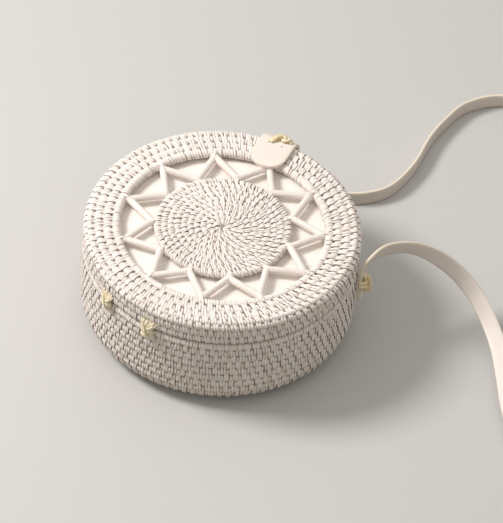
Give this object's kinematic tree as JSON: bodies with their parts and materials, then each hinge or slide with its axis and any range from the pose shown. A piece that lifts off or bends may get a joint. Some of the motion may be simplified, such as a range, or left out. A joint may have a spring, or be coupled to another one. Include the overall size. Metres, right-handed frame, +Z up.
{
  "type": "round coiled-cane bag",
  "caption": "Round coiled-cane bag with a hinged lid, an open star of wrapped sticks, a leather tab closure and a leather shoulder strap.",
  "frame": {"origin": "on the floor under the bag's axis, the bag lying on its flat back", "axes": "+Z up along the bag's axis towards the lid's face, -Y towards the lid's hinge, +X along the hinge"},
  "size_m": [0.3975, 0.4046, 0.0837],
  "materials": {
    "painted_cane": "matte paint on coiled cane",
    "wrapped_stick": "matte paint on wrapped cane",
    "lining": "plain cotton cloth",
    "strap_leather": "smooth ivory leather with raw edges",
    "lace": "pale yellow leather lace",
    "magnet_steel": "plated steel"
  },
  "bodies": {
    "body": {"body_back": "painted_cane", "body_wall": "painted_cane", "body_lining_floor": "lining", "body_lining_side": "lining", "hinge_body_loops": "lace", "wall_magnet": "magnet_steel", "strap_end_a": "strap_leather", "strap_end_b": "strap_leather", "strap_knot_a": "lace", "strap_knot_b": "lace", "strap": "strap_leather"},
    "lid": {"lid_shell": "painted_cane", "lid_edge_roll": "painted_cane", "medallion": "painted_cane", "star_stick_01": "wrapped_stick", "star_stick_02": "wrapped_stick", "star_stick_03": "wrapped_stick", "star_stick_04": "wrapped_stick", "star_stick_05": "wrapped_stick", "star_stick_06": "wrapped_stick", "star_stick_07": "wrapped_stick", "star_stick_08": "wrapped_stick", "star_stick_09": "wrapped_stick", "star_stick_10": "wrapped_stick", "star_stick_11": "wrapped_stick", "star_stick_12": "wrapped_stick", "star_stick_13": "wrapped_stick", "star_stick_14": "wrapped_stick", "star_stick_15": "wrapped_stick", "star_stick_16": "wrapped_stick", "star_stick_17": "wrapped_stick", "star_stick_18": "wrapped_stick", "star_stick_19": "wrapped_stick", "star_stick_20": "wrapped_stick", "star_stick_21": "wrapped_stick", "star_stick_22": "wrapped_stick", "lid_lining_panel": "lining", "lid_lining_side": "lining", "hinge_lid_loops": "lace", "tab_base": "strap_leather", "tab_knot": "lace"},
    "flap": {"tab_flap": "strap_leather", "flap_magnet": "magnet_steel"}
  },
  "joints": [
    {"name": "lid_hinge", "type": "hinge", "parent": "body", "child": "lid", "pos_m": [0, -0.0946, 0.059], "axis": [1, 0, 0], "range_deg": [0, 120]},
    {"name": "tab_bend", "type": "hinge", "parent": "lid", "child": "flap", "pos_m": [-0.02827, 0.09247, 0.0793], "axis": [0.9563, 0.2924, 0], "range_deg": [0, 150]}
  ]
}
